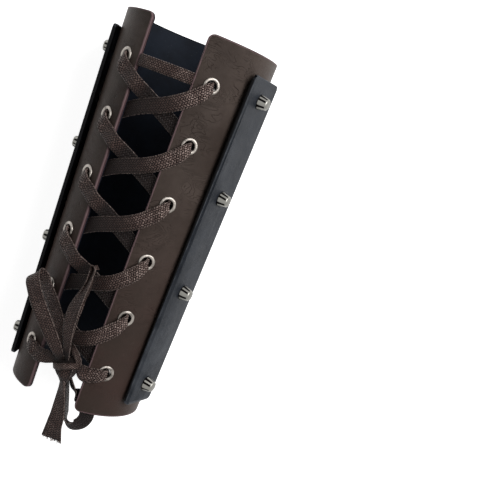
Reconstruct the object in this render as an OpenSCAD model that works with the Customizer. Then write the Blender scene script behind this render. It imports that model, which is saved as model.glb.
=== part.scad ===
// Leather bracer with splints, studs and a laced slit.
// It lies on two rows of studs, laced side up, with the forearm along Y and the elbow end at +Y.

/* [Cuff] */
// Length of the cuff from the elbow rim to the wrist rim
cuff_len = 240; // [220:1:270]
// Outer radius of the leather at the elbow rim
elbow_r = 49.5; // [48:0.5:56]
// Outer radius of the leather at the wrist rim
wrist_r = 42.5; // [41:0.5:46]
// Thickness of the outer leather
shell_t = 2.4; // [2:0.1:3]
// Thickness of the lining
lining_t = 0.6; // [0.4:0.1:1]
// Width of the laced slit at the elbow rim
slit_elbow_w = 36; // [30:1:42]
// Width of the laced slit at the wrist rim
slit_wrist_w = 32; // [28:1:36]
// Radius of the rounded flap corners
flap_corner_r = 4; // [2:0.5:6]

/* [Splints] */
// Width of a splint at its elbow end
splint_elbow_w = 37.6; // [34:0.2:39]
// Width of a splint at its wrist end
splint_wrist_w = 30.2; // [27:0.2:32]
// Thickness of a splint
splint_t = 2.5; // [2:0.1:3.5]
// Distance from the elbow rim to the splints
splint_elbow_gap = 12; // [8:0.5:16]
// Distance from the wrist rim to the splints
splint_wrist_gap = 10.5; // [7:0.5:14]
// Radius of the splint corners
splint_corner_r = 3; // [1:0.5:5]
// Angle between two splints, round the cuff
splint_deg = 50; // [49:0.5:52]

/* [Studs] */
// Distance from each end of a splint to its nearest stud
stud_end = 13.6; // [10:0.2:20]
// Height of a stud above its splint
stud_h = 6; // [5.2:0.1:8]
// Radius of a stud at its base
stud_base_r = 4.75; // [4.2:0.05:5.2]
// Radius of a stud at its flat tip
stud_tip_r = 2.85; // [2.4:0.05:3.2]
// Width of the bevel round the tip
stud_bevel = 0.6; // [0.3:0.1:0.9]
// Radius of a stud screw
screw_r = 1.5; // [1.2:0.05:1.8]
// Depth of the screw inside the stud
screw_grip = 3.6; // [3:0.1:4.4]
// Radius of a screw head
screw_head_r = 4; // [3.4:0.1:4.6]
// Thickness of a screw head
screw_head_t = 0.7; // [0.5:0.05:0.8]

/* [Eyelets] */
// Distance from each rim to the nearest eyelet
eyelet_end = 28.2; // [25:0.2:31]
// Distance from the flap edge to the eyelet centres
eyelet_inset = 11.4; // [10:0.2:13]
// Radius of the hole through an eyelet
eyelet_bore_r = 3; // [2.9:0.05:3.3]
// Thickness of the eyelet metal
eyelet_metal = 0.35; // [0.3:0.05:0.45]
// Radius of the eyelet flange
eyelet_flange_r = 5.1; // [4.7:0.1:5.6]
// Height of the flange above the leather
eyelet_flange_h = 0.9; // [0.6:0.05:1]
// Thickness of the washer inside the cuff
washer_t = 0.4; // [0.3:0.05:0.5]

/* [Lace] */
// Width of the flat lace
lace_w = 9.4; // [8:0.2:10]
// Thickness of the lace
lace_t = 1.3; // [1:0.1:1.5]

/* [Knot] */
// Radius of the rolled turns of lace in the knot
knot_roll_r = 2.8; // [2.4:0.1:3.2]
// Distance of the knot from the middle of the slit
knot_x = 4; // [2:0.5:5]

/* [Hidden] */
$fn = 64;
// Room between a part and the hole it sits in, on the radius
fit_gap = 0.05;
// Room between the lace and what it lies on
lace_gap = 0.1;
// Glue between the outer leather and the lining
glue_t = 0.05;
// How far a cut runs past the face it opens
past = 5;
rows = 6;
splints = 5;
studs = 4;
splint_names = ["outer_left", "inner_left", "centre", "inner_right", "outer_right"];
sides = [["left", -1], ["right", 1]];

wall_t = shell_t + glue_t + lining_t;
half_len = cuff_len / 2;
cone_deg = atan((elbow_r - wrist_r) / cuff_len);
eyelet_barrel_r = eyelet_bore_r + eyelet_metal;
eyelet_pitch = (cuff_len - 2 * eyelet_end) / (rows - 1);
stud_first = splint_elbow_gap + stud_end;
stud_pitch = (cuff_len - splint_elbow_gap - splint_wrist_gap - 2 * stud_end) / (studs - 1);
// The inner end of the barrel, rolled out over the washer
eyelet_lip_w = 0.95;
eyelet_lip_h = 0.6;
washer_rim = 0.1;
washer_r = eyelet_flange_r + washer_rim;
// A flat washer touches the round lining along its two sides
washer_seat = wall_t + washer_r * washer_r / (2 * (wrist_r - wall_t));
pocket_gap = 0.2;
pocket_r = screw_head_r + pocket_gap;
pocket_t = screw_head_t + pocket_gap;
// The straight foot under the taper of a stud, and the tip of its blind screw hole
stud_foot_h = 0.5;
drill_gap = 0.1;
drill_point = 0.3;
metal = "#b9b7ad";
lace_colour = "#4a3a33";

// Radius of the outer leather at distance y from the middle of the cuff
function leather_r(y) = (elbow_r + wrist_r) / 2 + (elbow_r - wrist_r) * y / cuff_len;
function slit_half(y) = (slit_elbow_w + slit_wrist_w) / 4 + (slit_elbow_w - slit_wrist_w) * y / cuff_len / 2;
function edge_deg(y) = asin(slit_half(y) / leather_r(y));
function arc_deg(len, y) = len / leather_r(y) * 180 / PI;
function eyelet_deg(y) = edge_deg(y) + arc_deg(eyelet_inset, y);
function row_y(row) = half_len - eyelet_end - (row - 1) * eyelet_pitch;
function stud_y(k) = half_len - stud_first - (k - 1) * stud_pitch;
function splint_angle(i) = 180 - (i - (splints - 1) / 2) * splint_deg;
// A point at an angle from the middle of the slit, at height h over the leather
function over(deg, y, h) = let (r = leather_r(y) + h) [r * sin(deg), y, r * cos(deg)];
function unit(v) = v / norm(v);
function reversed(list) = [for (k = [len(list) - 1:-1:0]) list[k]];

// The pitch that brings two rows of studs level, and the height of the axis over the table
lay_roll = -splint_deg / 2;
lay_pitch = atan(tan(cone_deg) * cos(splint_deg / 2));
foot_deg = 180 - splint_deg / 2;
foot_n = [sin(foot_deg) * cos(cone_deg), -sin(cone_deg), cos(foot_deg) * cos(cone_deg)];
foot = over(foot_deg, 0, 0) + (splint_t + stud_h) * foot_n;
foot_nz = foot_n[1] * sin(lay_pitch) + foot_n[2] * cos(lay_pitch);
foot_edge = stud_tip_r * sqrt(1 - foot_nz * foot_nz);
lay_h = foot_edge - foot[1] * sin(lay_pitch) - foot[2] * cos(lay_pitch);
lay_y = -(elbow_r - wrist_r) / 2 * sin(lay_pitch);

// Turns the cuff from its own axes to how it lies on the table
module laid() {
    translate([0, lay_y, lay_h]) rotate([lay_pitch, 0, 0]) rotate([0, lay_roll, 0]) children();
}

// Places a shape on the leather with Z outwards and Y along the cuff
module on_leather(deg, y) {
    rotate([0, deg, 0]) translate([0, y, leather_r(y)]) rotate([cone_deg, 0, 0]) children();
}

// A tapered tube round the forearm axis, between two depths below the face of the leather
module tube(outer_inset, inner_inset) {
    rotate([-90, 0, 0]) rotate_extrude($fn = 128) polygon([
        [wrist_r - outer_inset, -half_len],
        [elbow_r - outer_inset, half_len],
        [elbow_r - inner_inset, half_len],
        [wrist_r - inner_inset, -half_len]
    ]);
}

// The slit as seen from above, with the rounded flap corners
function flap_edge(side, arc_y) = let (r = flap_corner_r, x = slit_half(side * arc_y) + r) concat(
    [[x, side * (half_len + past)]],
    [for (a = [90:15:180]) [x + r * cos(a), side * (arc_y + r * sin(a))]]);

module slit_outline() {
    arc_y = half_len - flap_corner_r;
    right = concat(flap_edge(1, arc_y), reversed(flap_edge(-1, arc_y)));
    polygon(concat(right, [for (p = reversed(right)) [-p[0], p[1]]]));
}

module layer(outer_inset, inner_inset) {
    difference() {
        tube(outer_inset, inner_inset);
        linear_extrude(height = 2 * elbow_r) slit_outline();
        for (s = sides, k = [1:rows])
            on_leather(s[1] * eyelet_deg(row_y(k)), row_y(k))
                translate([0, 0, -wall_t - past])
                    cylinder(h = wall_t + 2 * past, r = eyelet_barrel_r + fit_gap);
        children();
    }
}

module outer_shell() {
    color("#43332d") laid() layer(0, shell_t)
        for (i = [0:splints - 1], k = [1:studs]) on_leather(splint_angle(i), stud_y(k)) {
            translate([0, 0, -shell_t - past]) cylinder(h = shell_t + 2 * past, r = screw_r + fit_gap);
            translate([0, 0, -shell_t - past]) cylinder(h = past + pocket_t, r = pocket_r);
        }
}

module lining() {
    color("#1d2029") laid() layer(shell_t + glue_t, wall_t);
}

// Outline of a splint: a taper with round corners, elbow end up
module splint_outline() {
    top_y = half_len - splint_elbow_gap - splint_corner_r;
    low_y = -half_len + splint_wrist_gap + splint_corner_r;
    top_x = splint_elbow_w / 2 - splint_corner_r;
    low_x = splint_wrist_w / 2 - splint_corner_r;
    r = splint_corner_r;
    side_n = unit([top_y - low_y, -(top_x - low_x)]) * r;
    right = [[low_x, low_y - r], [low_x, low_y] + side_n, [top_x, top_y] + side_n, [top_x, top_y + r]];
    polygon(concat(right, [for (k = [3:-1:0]) [-right[k][0], right[k][1]]]));
    for (x = [-1, 1]) {
        translate([x * top_x, top_y]) circle(r = r);
        translate([x * low_x, low_y]) circle(r = r);
    }
}

module splint(i) {
    color("#2b2e38") laid() on_leather(splint_angle(i), 0) difference() {
        linear_extrude(height = splint_t) splint_outline();
        for (k = [1:studs])
            translate([0, stud_y(k), -past]) cylinder(h = splint_t + 2 * past, r = screw_r + fit_gap);
    }
}

module stud(i, k) {
    color(metal) laid() on_leather(splint_angle(i), 0) translate([0, stud_y(k), splint_t])
        rotate_extrude() polygon([
            [screw_r + fit_gap, 0],
            [stud_base_r, 0],
            [stud_base_r, stud_foot_h],
            [stud_tip_r + stud_bevel, stud_h - stud_bevel],
            [stud_tip_r, stud_h],
            [0, stud_h],
            [0, screw_grip + drill_gap + drill_point],
            [screw_r + fit_gap, screw_grip + drill_gap]
        ]);
}

module stud_screws(i) {
    color("#8d8c86") laid() on_leather(splint_angle(i), 0)
        for (k = [1:studs]) translate([0, stud_y(k), pocket_t - shell_t - screw_head_t]) {
            cylinder(h = screw_head_t, r = screw_head_r);
            cylinder(h = screw_head_t + shell_t - pocket_t + splint_t + screw_grip, r = screw_r);
        }
}

module eyelet(side, k) {
    mid_r = (eyelet_bore_r + eyelet_flange_r) / 2;
    half_r = (eyelet_flange_r - eyelet_bore_r) / 2;
    back = -washer_seat - washer_t;
    color(metal) laid() on_leather(side * eyelet_deg(row_y(k)), row_y(k))
        rotate_extrude() polygon(concat(
            [for (a = [0:22.5:180]) [mid_r + half_r * cos(a), eyelet_flange_h * sin(a)]],
            [
                [eyelet_bore_r, back - eyelet_lip_h],
                [eyelet_barrel_r + eyelet_lip_w / 2, back - 0.8 * eyelet_lip_h],
                [eyelet_barrel_r + eyelet_lip_w, back],
                [eyelet_barrel_r, back],
                [eyelet_barrel_r, 0]
            ]));
}

module eyelet_washers(side) {
    color("#a3a199") laid() for (k = [1:rows])
        on_leather(side * eyelet_deg(row_y(k)), row_y(k)) translate([0, 0, -washer_seat - washer_t])
            difference() {
                cylinder(h = washer_t, r = washer_r);
                translate([0, 0, -past]) cylinder(h = washer_t + 2 * past, r = eyelet_barrel_r + fit_gap);
            }
}

// Outline of the flat lace in half widths and half thicknesses
lace_section = [
    [1, 0.35], [0.72, 1], [-0.72, 1], [-1, 0.35],
    [-1, -0.35], [-0.72, -1], [0.72, -1], [1, -0.35]
];

function ring_points(p, along, across, half_w, half_t) =
    let (a = unit(across - (across * along) * along), b = cross(along, a))
    [for (c = lace_section) p + a * half_w * c[0] + b * half_t * c[1]];

// A flat lace through rings, each a centre, the direction of its width, half its width and half its thickness
module lace(rings) {
    n = len(rings);
    m = len(lace_section);
    last = (n - 1) * m;
    points = [for (j = [0:n - 1])
        each ring_points(rings[j][0], unit(rings[min(j + 1, n - 1)][0] - rings[max(j - 1, 0)][0]),
            rings[j][1], rings[j][2], rings[j][3])];
    wall = [for (j = [0:n - 2], k = [0:m - 1]) each let (a = j * m + k, b = j * m + (k + 1) % m)
        [[a, a + m, b], [b, a + m, b + m]]];
    caps = concat([for (k = [1:m - 2]) [0, k, k + 1]], [for (k = [1:m - 2]) [last, last + k + 1, last + k]]);
    color(lace_colour) laid() polyhedron(points = points, faces = concat(wall, caps));
}

// The lace beside an eyelet, from the hole outwards, on the face and inside.
// Each ring has its distance, its height over the leather, half its width and half its thickness
turn_r = 1.6;
mouth_h = 0.4;
spread = 2.6;
half_w = lace_w / 2;
half_t = lace_t / 2;
lie = half_t + lace_gap;
// A flat flange or washer stands further off the round leather at its sides than in its middle
flange_top = eyelet_flange_h + eyelet_flange_r * eyelet_flange_r / (2 * wrist_r);
back_h = -(washer_seat + washer_t + eyelet_lip_h + lace_t);
function folded(k) = [0.8 * eyelet_bore_r * (1 - k) + 0.7 * half_w * k, (1.7 - 0.4 * k) * half_t];
face_rings = concat(
    [for (k = [0:0.5:1])
        concat([turn_r * (1 - cos(90 * k)), mouth_h + turn_r * sin(90 * k)], folded(k))],
    [
        [washer_r, flange_top + 3 * lace_gap + half_t, 0.85 * half_w, 1.15 * half_t],
        [washer_r + spread, lie + 3 * lace_gap, 0.96 * half_w, half_t],
        [washer_r + 2 * spread, lie + 2 * lace_gap, half_w, half_t]
    ]);
back_rings = concat(
    [for (k = [0:0.5:1])
        concat([turn_r * (1 - cos(90 * k)), back_h + turn_r * (1 - sin(90 * k))], folded(k))],
    [
        [washer_r - 1, back_h, 0.75 * half_w, 1.25 * half_t],
        [washer_r + spread / 2, back_h + half_t, 0.85 * half_w, 1.15 * half_t],
        [washer_r + 1.7 * spread, -wall_t - lie - 5 * lace_gap, 0.96 * half_w, half_t]
    ]);

// A pass runs at a slope from an eyelet to the next row on the other side
function pass_deg(row) = eyelet_deg(row_y(row)) + eyelet_deg(row_y(row + 1));
function pass_span(row) = pass_deg(row) * PI / 180 * leather_r((row_y(row) + row_y(row + 1)) / 2);
function pass_slope(row) = atan(eyelet_pitch / pass_span(row));
function pass_len(row) = norm([pass_span(row), eyelet_pitch]);
function pass_angle(a, row, side) = side * (eyelet_deg(row_y(row)) - pass_deg(row) * a / pass_len(row));
function pass_at(a, h, row, side) =
    let (y = row_y(row) - a * sin(pass_slope(row)) - droop(a / pass_len(row), row, side))
    over(pass_angle(a, row, side), y, h);
// A pass hangs towards the wrist, most of all a quarter of the way along
function droop(t, row, side) = 9.48 * t * pow(1 - t, 3) * (side > 0 ? right_droop : left_droop)[row - 1];
// The width of the lace is square to its pass where k is 1, and along the flap in an eyelet, where k is 0
function pass_width(a, k, row, side) =
    let (deg = pass_angle(a, row, side), s = side * sin(pass_slope(row)) * k)
    unit([s * cos(deg), -cos(pass_slope(row)), -s * sin(deg)]);
function pass_ring(a, h, k, w, t, row, side) = [pass_at(a, h, row, side), pass_width(a, k, row, side), w, t];

// How far each pass droops where it starts on the right and on the left
right_droop = [6.2, 6.8, 6.6, 8.4, 7.6];
left_droop = [4, 4.1, 3.7, 4.4, 4.1];

// How far the upper lace rises and the lower lace sinks at a crossing, in lace thicknesses
upper_lift = [0.5, 0.75, 1.05];
lower_lift = [-1.95, -0.95, -0.3];

// One pass of the lace: out of an eyelet, over its flap, across the slit and under the other flap
function lace_pass(row, side) =
    let (
        len = pass_len(row),
        edge = eyelet_inset / cos(pass_slope(row)) + half_w * tan(pass_slope(row)),
        out_p = pass_at(edge, lie + 3 * lace_gap, row, side),
        in_p = pass_at(len - edge, -wall_t - lie - 3 * lace_gap, row, side),
        lift = lace_t * (side > 0 ? upper_lift : lower_lift)
    )
    concat(
        [for (j = [0:len(face_rings) - 1]) let (r = face_rings[j])
            pass_ring(r[0], r[1], min(1, j / 2), r[2], r[3], row, side)],
        [[out_p, pass_width(edge, 1, row, side), half_w, half_t]],
        [for (j = [0:2]) let (t = 0.3 + 0.2 * j, a = edge + t * (len - 2 * edge),
                hang = droop(a / len, row, side) - (1 - t) * droop(edge / len, row, side)
                    - t * droop(1 - edge / len, row, side))
            [out_p * (1 - t) + in_p * t + [0, -hang, lift[j]],
                pass_width(a, 1, row, side), half_w, half_t]],
        [[in_p, pass_width(len - edge, 1, row, side), half_w, half_t]],
        [for (j = [len(back_rings) - 1:-1:0]) let (r = back_rings[j])
            pass_ring(len - r[0], r[1], min(1, j / 2), r[2], r[3], row, side)]
    );

// The lace from an eyelet of the first row down to the last row, changing sides at each pass
function lace_strand(side) = [for (k = [1:rows - 1]) each lace_pass(k, side * (k % 2 == 1 ? 1 : -1))];

// A ring of the lace that runs straight across, at a distance from its eyelet towards the slit
function across_ring(r, y, drop, side) =
    [over(side * (eyelet_deg(y) - arc_deg(r[0], y)), y - drop, r[1]), [0, -1, 0], r[2], r[3]];

// Half of the bar inside the cuff between the two eyelets of the first row
function bar_half(side) =
    let (y = row_y(1), x = slit_half(y), r = leather_r(y) - wall_t)
    concat(
        [for (r = back_rings) across_ring(r, y, 0, side)],
        [[[side * x, y, sqrt(r * r - x * x) - lie - 2 * lace_gap], [0, -1, 0], half_w, half_t]]);

// The knot sits over the slit between the eyelets of the last row.
// Its turns of lace roll between these points, measured from its middle
knot_lift = 0.2;
knot = [knot_x, row_y(rows), leather_r(row_y(rows)) + knot_lift];
knot_left = [-4.6, -3, 0];
knot_right = [3.6, 1.4, 0.6];
knot_top = [2, 6, 0.6];
knot_mid = [1.6, -1, 0.4];
knot_low = [0.4, -6.6, 0];

// From an eyelet of the last row the lace sags on its way over the flap to the side of the knot
right_sag = 3.9;
left_sag = 1.8;
function lace_end(side) =
    let (
        y = row_y(rows),
        sag = side > 0 ? right_sag : left_sag,
        edge = over(side * edge_deg(y), y - sag, lie + 2 * lace_gap),
        tie = knot + (side > 0
            ? knot_right + [knot_roll_r + 0.8, -1.2, -0.3]
            : knot_left + [-knot_roll_r - 0.3, 1, -0.3])
    )
    concat(
        [for (j = [0:len(face_rings) - 1])
            across_ring(face_rings[j], y, sag * max(0, j - 1) / 4, side)],
        [
            [edge, [0, -1, 0], half_w, half_t],
            [(edge + tie) / 2, [0, -1, 0.1], 0.9 * half_w, 1.2 * half_t],
            [tie, [0, -1, 0], 0.6 * half_w, 1.6 * half_t]
        ]
    );

module lacing() {
    down_right = concat(lace_strand(1), lace_end(rows % 2 == 0 ? -1 : 1));
    down_left = concat(lace_strand(-1), lace_end(rows % 2 == 0 ? 1 : -1));
    lace(concat(reversed(down_right), bar_half(1), reversed(bar_half(-1)), down_left));
}

// A turn of lace rolled between points of the knot
module knot_turn(ends) {
    hull() for (p = ends) translate(p) sphere(r = knot_roll_r, $fn = 24);
}

module bow_knot() {
    color(lace_colour) laid() translate(knot) {
        knot_turn([knot_left, knot_mid, knot_low]);
        knot_turn([knot_mid, knot_right]);
        knot_turn([knot_right, knot_top]);
    }
}

// Routes of the loose lace, measured from the middle of the knot.
// Each point has a centre, the direction of the width, and half the width
loop_left_route = [
    [[-5.6, 0.8, -0.2], [0.7, 0.7, 0], 1.5],
    [[-6.9, 6.5, 2.9], [0.7, 0.7, 0.1], 2.5],
    [[-8.5, 13.5, 3.6], [0.7, 0.7, 0.1], 4],
    [[-13, 20.5, 3.2], [0.7, 0.7, 0.1], 4.6],
    [[-18.6, 26.8, 1], [0.7, 0.7, 0.2], 4.7],
    [[-24.4, 32.4, -0.8], [0.7, 0.7, 0.3], 4.7],
    [[-29.6, 36.8, -2.2], [0.7, 0.7, 0.35], 4.7],
    [[-35, 40.6, -4.6], [0.7, 0.7, 0.2], 4.8],
    [[-38.4, 41.4, -4], [0.7, 0.7, 0], 5],
    [[-39.6, 40.6, -1.4], [0.7, 0.7, 0], 5],
    [[-38.2, 38.8, 1.8], [0.7, 0.7, 0], 5],
    [[-34.8, 35.6, 4.6], [0.7, 0.7, 0], 4.9],
    [[-30, 30.6, 6.8], [0.7, 0.7, 0], 4.8],
    [[-23.4, 24.2, 8.2], [0.7, 0.7, 0], 4.8],
    [[-16, 16.8, 8.5], [0.7, 0.7, 0], 4.7],
    [[-9, 9, 7.4], [0.7, 0.7, 0], 4],
    [[-5, 3.2, 4.9], [0.7, 0.7, 0], 2.8],
    [[-3.4, 0.2, 2.8], [0.7, 0.7, 0], 1.8]
];
loop_up_route = [
    [[0.4, 1.8, 3.1], [0.9, 0, 0.4], 1.8],
    [[-1, 9, 6], [0.8, 0, 0.6], 2.8],
    [[-2.8, 17, 8], [0.8, 0, 0.6], 3.8],
    [[-3.6, 25.4, 9.2], [1, 0, 0.4], 4.4],
    [[-3.3, 32.4, 9.6], [1, 0, 0.2], 4.6],
    [[-2, 39.4, 8.8], [0.5, 0, 0.9], 4.7],
    [[-1.6, 46.4, 7.5], [0.2, 0, 1], 4.6],
    [[-1.5, 53.6, 6.5], [0.1, 0, 1], 4.5],
    [[-1.6, 59.2, 6], [0, 0, 1], 4.4],
    [[-2.8, 61, 5.8], [0, 0, 1], 4.4],
    [[-4, 59.2, 5.4], [0, 0, 1], 4.4],
    [[-4, 52.4, 5], [-0.1, 0, 1], 4.5],
    [[-4.8, 45, 4.6], [-0.2, 0, 1], 4.5],
    [[-6, 37.6, 3.6], [-0.7, 0, 0.7], 4.6],
    [[-6.4, 29.8, 2.2], [-1, 0, 0.2], 4.6],
    [[-6, 21.5, 1.2], [-1, 0, 0], 4.2],
    [[-4.6, 13.2, 1], [-1, 0, 0], 2.8],
    [[-3, 6.4, 0.6], [-1, 0, 0], 1.6],
    [[-1.3, 2.3, 0], [-1, 0, 0], 1.4]
];
tail_down_route = [
    [[0.6, -9.9, -0.8], [1, 0, 0.3], 3],
    [[2.2, -14.4, -0.2], [1, 0, 0.4], 3.6],
    [[3.5, -20.4, 0.4], [1, 0, 0.4], 4.4],
    [[4.6, -30, 0.2], [1, 0, 0.3], 4.7],
    [[4.7, -39.8, -1.5], [1, -0.1, 0.1], 5],
    [[4.3, -49.6, -4], [1, -0.1, -0.1], 5.8]
];
tail_tucked_route = [
    [[2.8, -7.2, -3.3], [0.2, 0.1, 1], 2.2],
    [[4.6, -12, -4.6], [0.25, 0.1, 1], 3.2],
    [[7.2, -16.6, -6.8], [0.1, 0, 1], 3.6],
    [[11.2, -20, -9.4], [-0.5, -0.5, 0.7], 4.4],
    [[15.2, -23, -11.4], [-0.75, -0.45, 0.5], 4.6],
    [[17.8, -27.5, -12.8], [-0.85, -0.1, 0.5], 4.7],
    [[18.4, -32.5, -13.8], [-0.8, 0.3, 0.5], 4.7],
    [[16.4, -37, -13.8], [-0.45, 0.75, 0.5], 4.7],
    [[12.6, -39, -12.4], [-0.1, 0.8, 0.6], 4.7],
    [[9.2, -37, -10.4], [0.1, 0.5, 0.85], 4.6],
    [[7.4, -32, -8.6], [0.1, 0.1, 1], 4.4],
    [[5.4, -24.5, -7], [0, -0.2, 1], 4.2],
    [[3.4, -16, -5.6], [0, -0.2, 1], 3.4],
    [[1.5, -8.8, -4.4], [0, -0.2, 1], 2.2]
];

function between(a, b, c, d, t) =
    0.5 * ((2 * b) + (c - a) * t + (2 * a - 5 * b + 4 * c - d) * t * t + (3 * b - a - 3 * c + d) * t * t * t);
// Puts a ring halfway between each two of a route
function smooth(route) = let (n = len(route)) [
    for (j = [0:n - 1]) each let (
        a = route[max(j - 1, 0)], b = route[j], c = route[min(j + 1, n - 1)], d = route[min(j + 2, n - 1)]
    )
        j == n - 1 ? [b] : [b, [for (k = [0:2]) between(a[k], b[k], c[k], d[k], 0.5)]]
];
module loose_lace(route) {
    lace([for (r = smooth(route)) [knot + r[0], r[1], r[2], half_t]]);
}

module bow_loop_left() { loose_lace(loop_left_route); }
module bow_loop_up() { loose_lace(loop_up_route); }
module lace_tail_down() { loose_lace(tail_down_route); }
module lace_tail_tucked() { loose_lace(tail_tucked_route); }

outer_shell();
lining();
for (i = [0:splints - 1]) {
    splint(i);
    stud_screws(i);
    for (k = [1:studs])
        stud(i, k);
}
for (s = sides) {
    eyelet_washers(s[1]);
    for (k = [1:rows])
        eyelet(s[1], k);
}
lacing();
bow_knot();
bow_loop_left();
bow_loop_up();
lace_tail_down();
lace_tail_tucked();
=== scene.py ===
import math
import random

import bmesh
import bpy
from mathutils import Matrix, Vector, noise


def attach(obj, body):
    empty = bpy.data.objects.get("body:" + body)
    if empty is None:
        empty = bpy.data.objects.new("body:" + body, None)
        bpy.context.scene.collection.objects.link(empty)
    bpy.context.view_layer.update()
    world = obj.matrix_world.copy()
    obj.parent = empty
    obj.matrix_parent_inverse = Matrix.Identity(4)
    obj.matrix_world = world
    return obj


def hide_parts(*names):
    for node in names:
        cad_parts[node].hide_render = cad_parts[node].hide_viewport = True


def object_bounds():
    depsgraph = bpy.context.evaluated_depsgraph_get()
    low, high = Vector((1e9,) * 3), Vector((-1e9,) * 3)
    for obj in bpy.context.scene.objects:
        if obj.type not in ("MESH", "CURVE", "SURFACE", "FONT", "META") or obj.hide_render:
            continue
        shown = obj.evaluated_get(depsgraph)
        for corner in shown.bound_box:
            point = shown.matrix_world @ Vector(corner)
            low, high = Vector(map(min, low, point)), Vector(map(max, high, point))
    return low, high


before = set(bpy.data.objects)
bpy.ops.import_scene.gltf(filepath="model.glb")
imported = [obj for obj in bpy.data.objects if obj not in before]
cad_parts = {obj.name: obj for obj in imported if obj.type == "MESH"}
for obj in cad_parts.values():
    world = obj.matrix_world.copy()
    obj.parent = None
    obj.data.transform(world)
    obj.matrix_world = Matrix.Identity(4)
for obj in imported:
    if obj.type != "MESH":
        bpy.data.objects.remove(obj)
cadBox = [list(corner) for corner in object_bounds()]
scene = bpy.context.scene
scene.view_settings.view_transform = "Standard"

# Millimetres, in the cuff's own axes: X to the right, Y towards the elbow, Z out through the slit
cuff = {
    "length": 240, "elbowR": 49.5, "wristR": 42.5,
    "leather": 2.4, "glue": 0.05, "lining": 0.6,
    "slitElbow": 36, "slitWrist": 32, "cornerR": 4,
}
splints = {
    "names": ("outer_left", "inner_left", "centre", "inner_right", "outer_right"),
    "turn": math.radians(50), "elbowW": 37.6, "wristW": 30.2, "thick": 2.5,
    "elbowGap": 12, "wristGap": 10.5, "cornerR": 3, "bevel": 0.55, "inset": 1.2,
    "cornerSteps": 6, "bevelSteps": 4, "manySides": 12,
}
studs = {
    "count": 4, "end": 13.6, "baseR": 4.75, "tipR": 2.85, "height": 6, "foot": 0.5, "bevel": 0.6,
    "sharp": 38, "sway": (0.12, 1.7, 2.3),
}
eyelets = {
    "rows": 6, "end": 28.2, "inset": 11.4, "boreR": 3, "metal": 0.35,
    "flangeR": 5.1, "flangeH": 0.9, "washerR": 5.2, "washerT": 0.4,
    "domeStep": 12, "domePower": 0.8, "sharp": 50, "turn": 1.3,
}
halfLen = cuff["length"] / 2
midR = (cuff["elbowR"] + cuff["wristR"]) / 2
taper = cuff["elbowR"] - cuff["wristR"]
coneTurn = math.atan(taper / cuff["length"])
wallT = cuff["leather"] + cuff["glue"] + cuff["lining"]


def leatherR(y):
    return midR + taper * y / cuff["length"]


def slitHalf(y):
    elbow, wrist = cuff["slitElbow"], cuff["slitWrist"]
    return (elbow + wrist) / 4 + (elbow - wrist) * y / cuff["length"] / 2


def edgeTurn(y):
    return math.asin(slitHalf(y) / leatherR(y))


def eyeletTurn(y):
    return edgeTurn(y) + eyelets["inset"] / leatherR(y)


def rowY(row):
    span = cuff["length"] - 2 * eyelets["end"]
    return halfLen - eyelets["end"] - (row - 1) * span / (eyelets["rows"] - 1)


def over(turn, y, h):
    # The point at a height over the leather, a turn round the forearm from the middle of the slit
    r = leatherR(y) + h
    return Vector((r * math.sin(turn), y, r * math.cos(turn)))


def cuffToRow():
    # Lays the cuff as the solids lie, its stud tips at zero height, and turns millimetres into metres
    pitch = math.atan(math.tan(coneTurn) * math.cos(splints["turn"] / 2))
    turn = math.pi - splints["turn"] / 2
    cone = math.cos(coneTurn)
    out = Vector((math.sin(turn) * cone, -math.sin(coneTurn), math.cos(turn) * cone))
    foot = over(turn, 0, 0) + (splints["thick"] + studs["height"]) * out
    pitched = Matrix.Rotation(pitch, 4, "X")
    rise = studs["tipR"] * math.sqrt(1 - (pitched @ out).z ** 2) - (pitched @ foot).z
    place = Matrix.Translation((0, -taper / 2 * math.sin(pitch), rise))
    return Matrix.Scale(0.001, 4) @ place @ pitched @ Matrix.Rotation(-splints["turn"] / 2, 4, "Y")


def onLeather(turn, y):
    place = Matrix.Translation((0, y, leatherR(y)))
    return Matrix.Rotation(turn, 4, "Y") @ place @ Matrix.Rotation(coneTurn, 4, "X")


def onSplint(index):
    return onLeather(math.pi - (index - 2) * splints["turn"], 0)


toRow = cuffToRow()
lastY = rowY(eyelets["rows"])
knot = {"right": 4, "lift": 0.2}
knotAt = Vector((knot["right"], lastY, leatherR(lastY) + knot["lift"]))

# The camera stands where the photograph was taken from, found in the cuff's own axes
view = {
    "turn": (6.92, -10.97, -22.19), "move": (-65.32, 15.14, -534.22), "lens": 62.45,
    "sensor": 36, "near": 0.01,
}


def addObject(name, data):
    made = bpy.data.objects.new(name, data)
    scene.collection.objects.link(made)
    return made


def addCamera():
    x, y, z = (Matrix.Rotation(math.radians(a), 4, axis) for a, axis in zip(view["turn"], "XYZ"))
    place = toRow @ (Matrix.Translation(view["move"]) @ z @ y @ x).inverted()
    camera = addObject("camera", bpy.data.cameras.new("camera"))
    location, rotation, _ = place.decompose()
    camera.matrix_world = Matrix.LocRotScale(location, rotation, None)
    camera.data.lens = view["lens"]
    camera.data.sensor_width = view["sensor"]
    camera.data.clip_start = view["near"]
    scene.camera = camera


addCamera()

# Mesh helpers
weld = 0.0005
sharpCorner = 1
latheSteps = 64


def meshOf(name, bm):
    mesh = bpy.data.meshes.new(name)
    bm.to_mesh(mesh)
    bm.free()
    return mesh


def pieceName(node):
    first, *others = node.split("_")
    return first + "".join(word.title() for word in others)


def finishPiece(node, bm, material, name=None, sharp=None):
    bmesh.ops.transform(bm, matrix=toRow, verts=bm.verts)
    mesh = meshOf(name or pieceName(node), bm)
    for face in mesh.polygons:
        face.use_smooth = True
    if sharp:
        mesh.set_sharp_from_angle(angle=math.radians(sharp))
    mesh.materials.append(material)
    piece = addObject(mesh.name, mesh)
    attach(piece, "root")
    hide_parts(node)
    return piece


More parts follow.
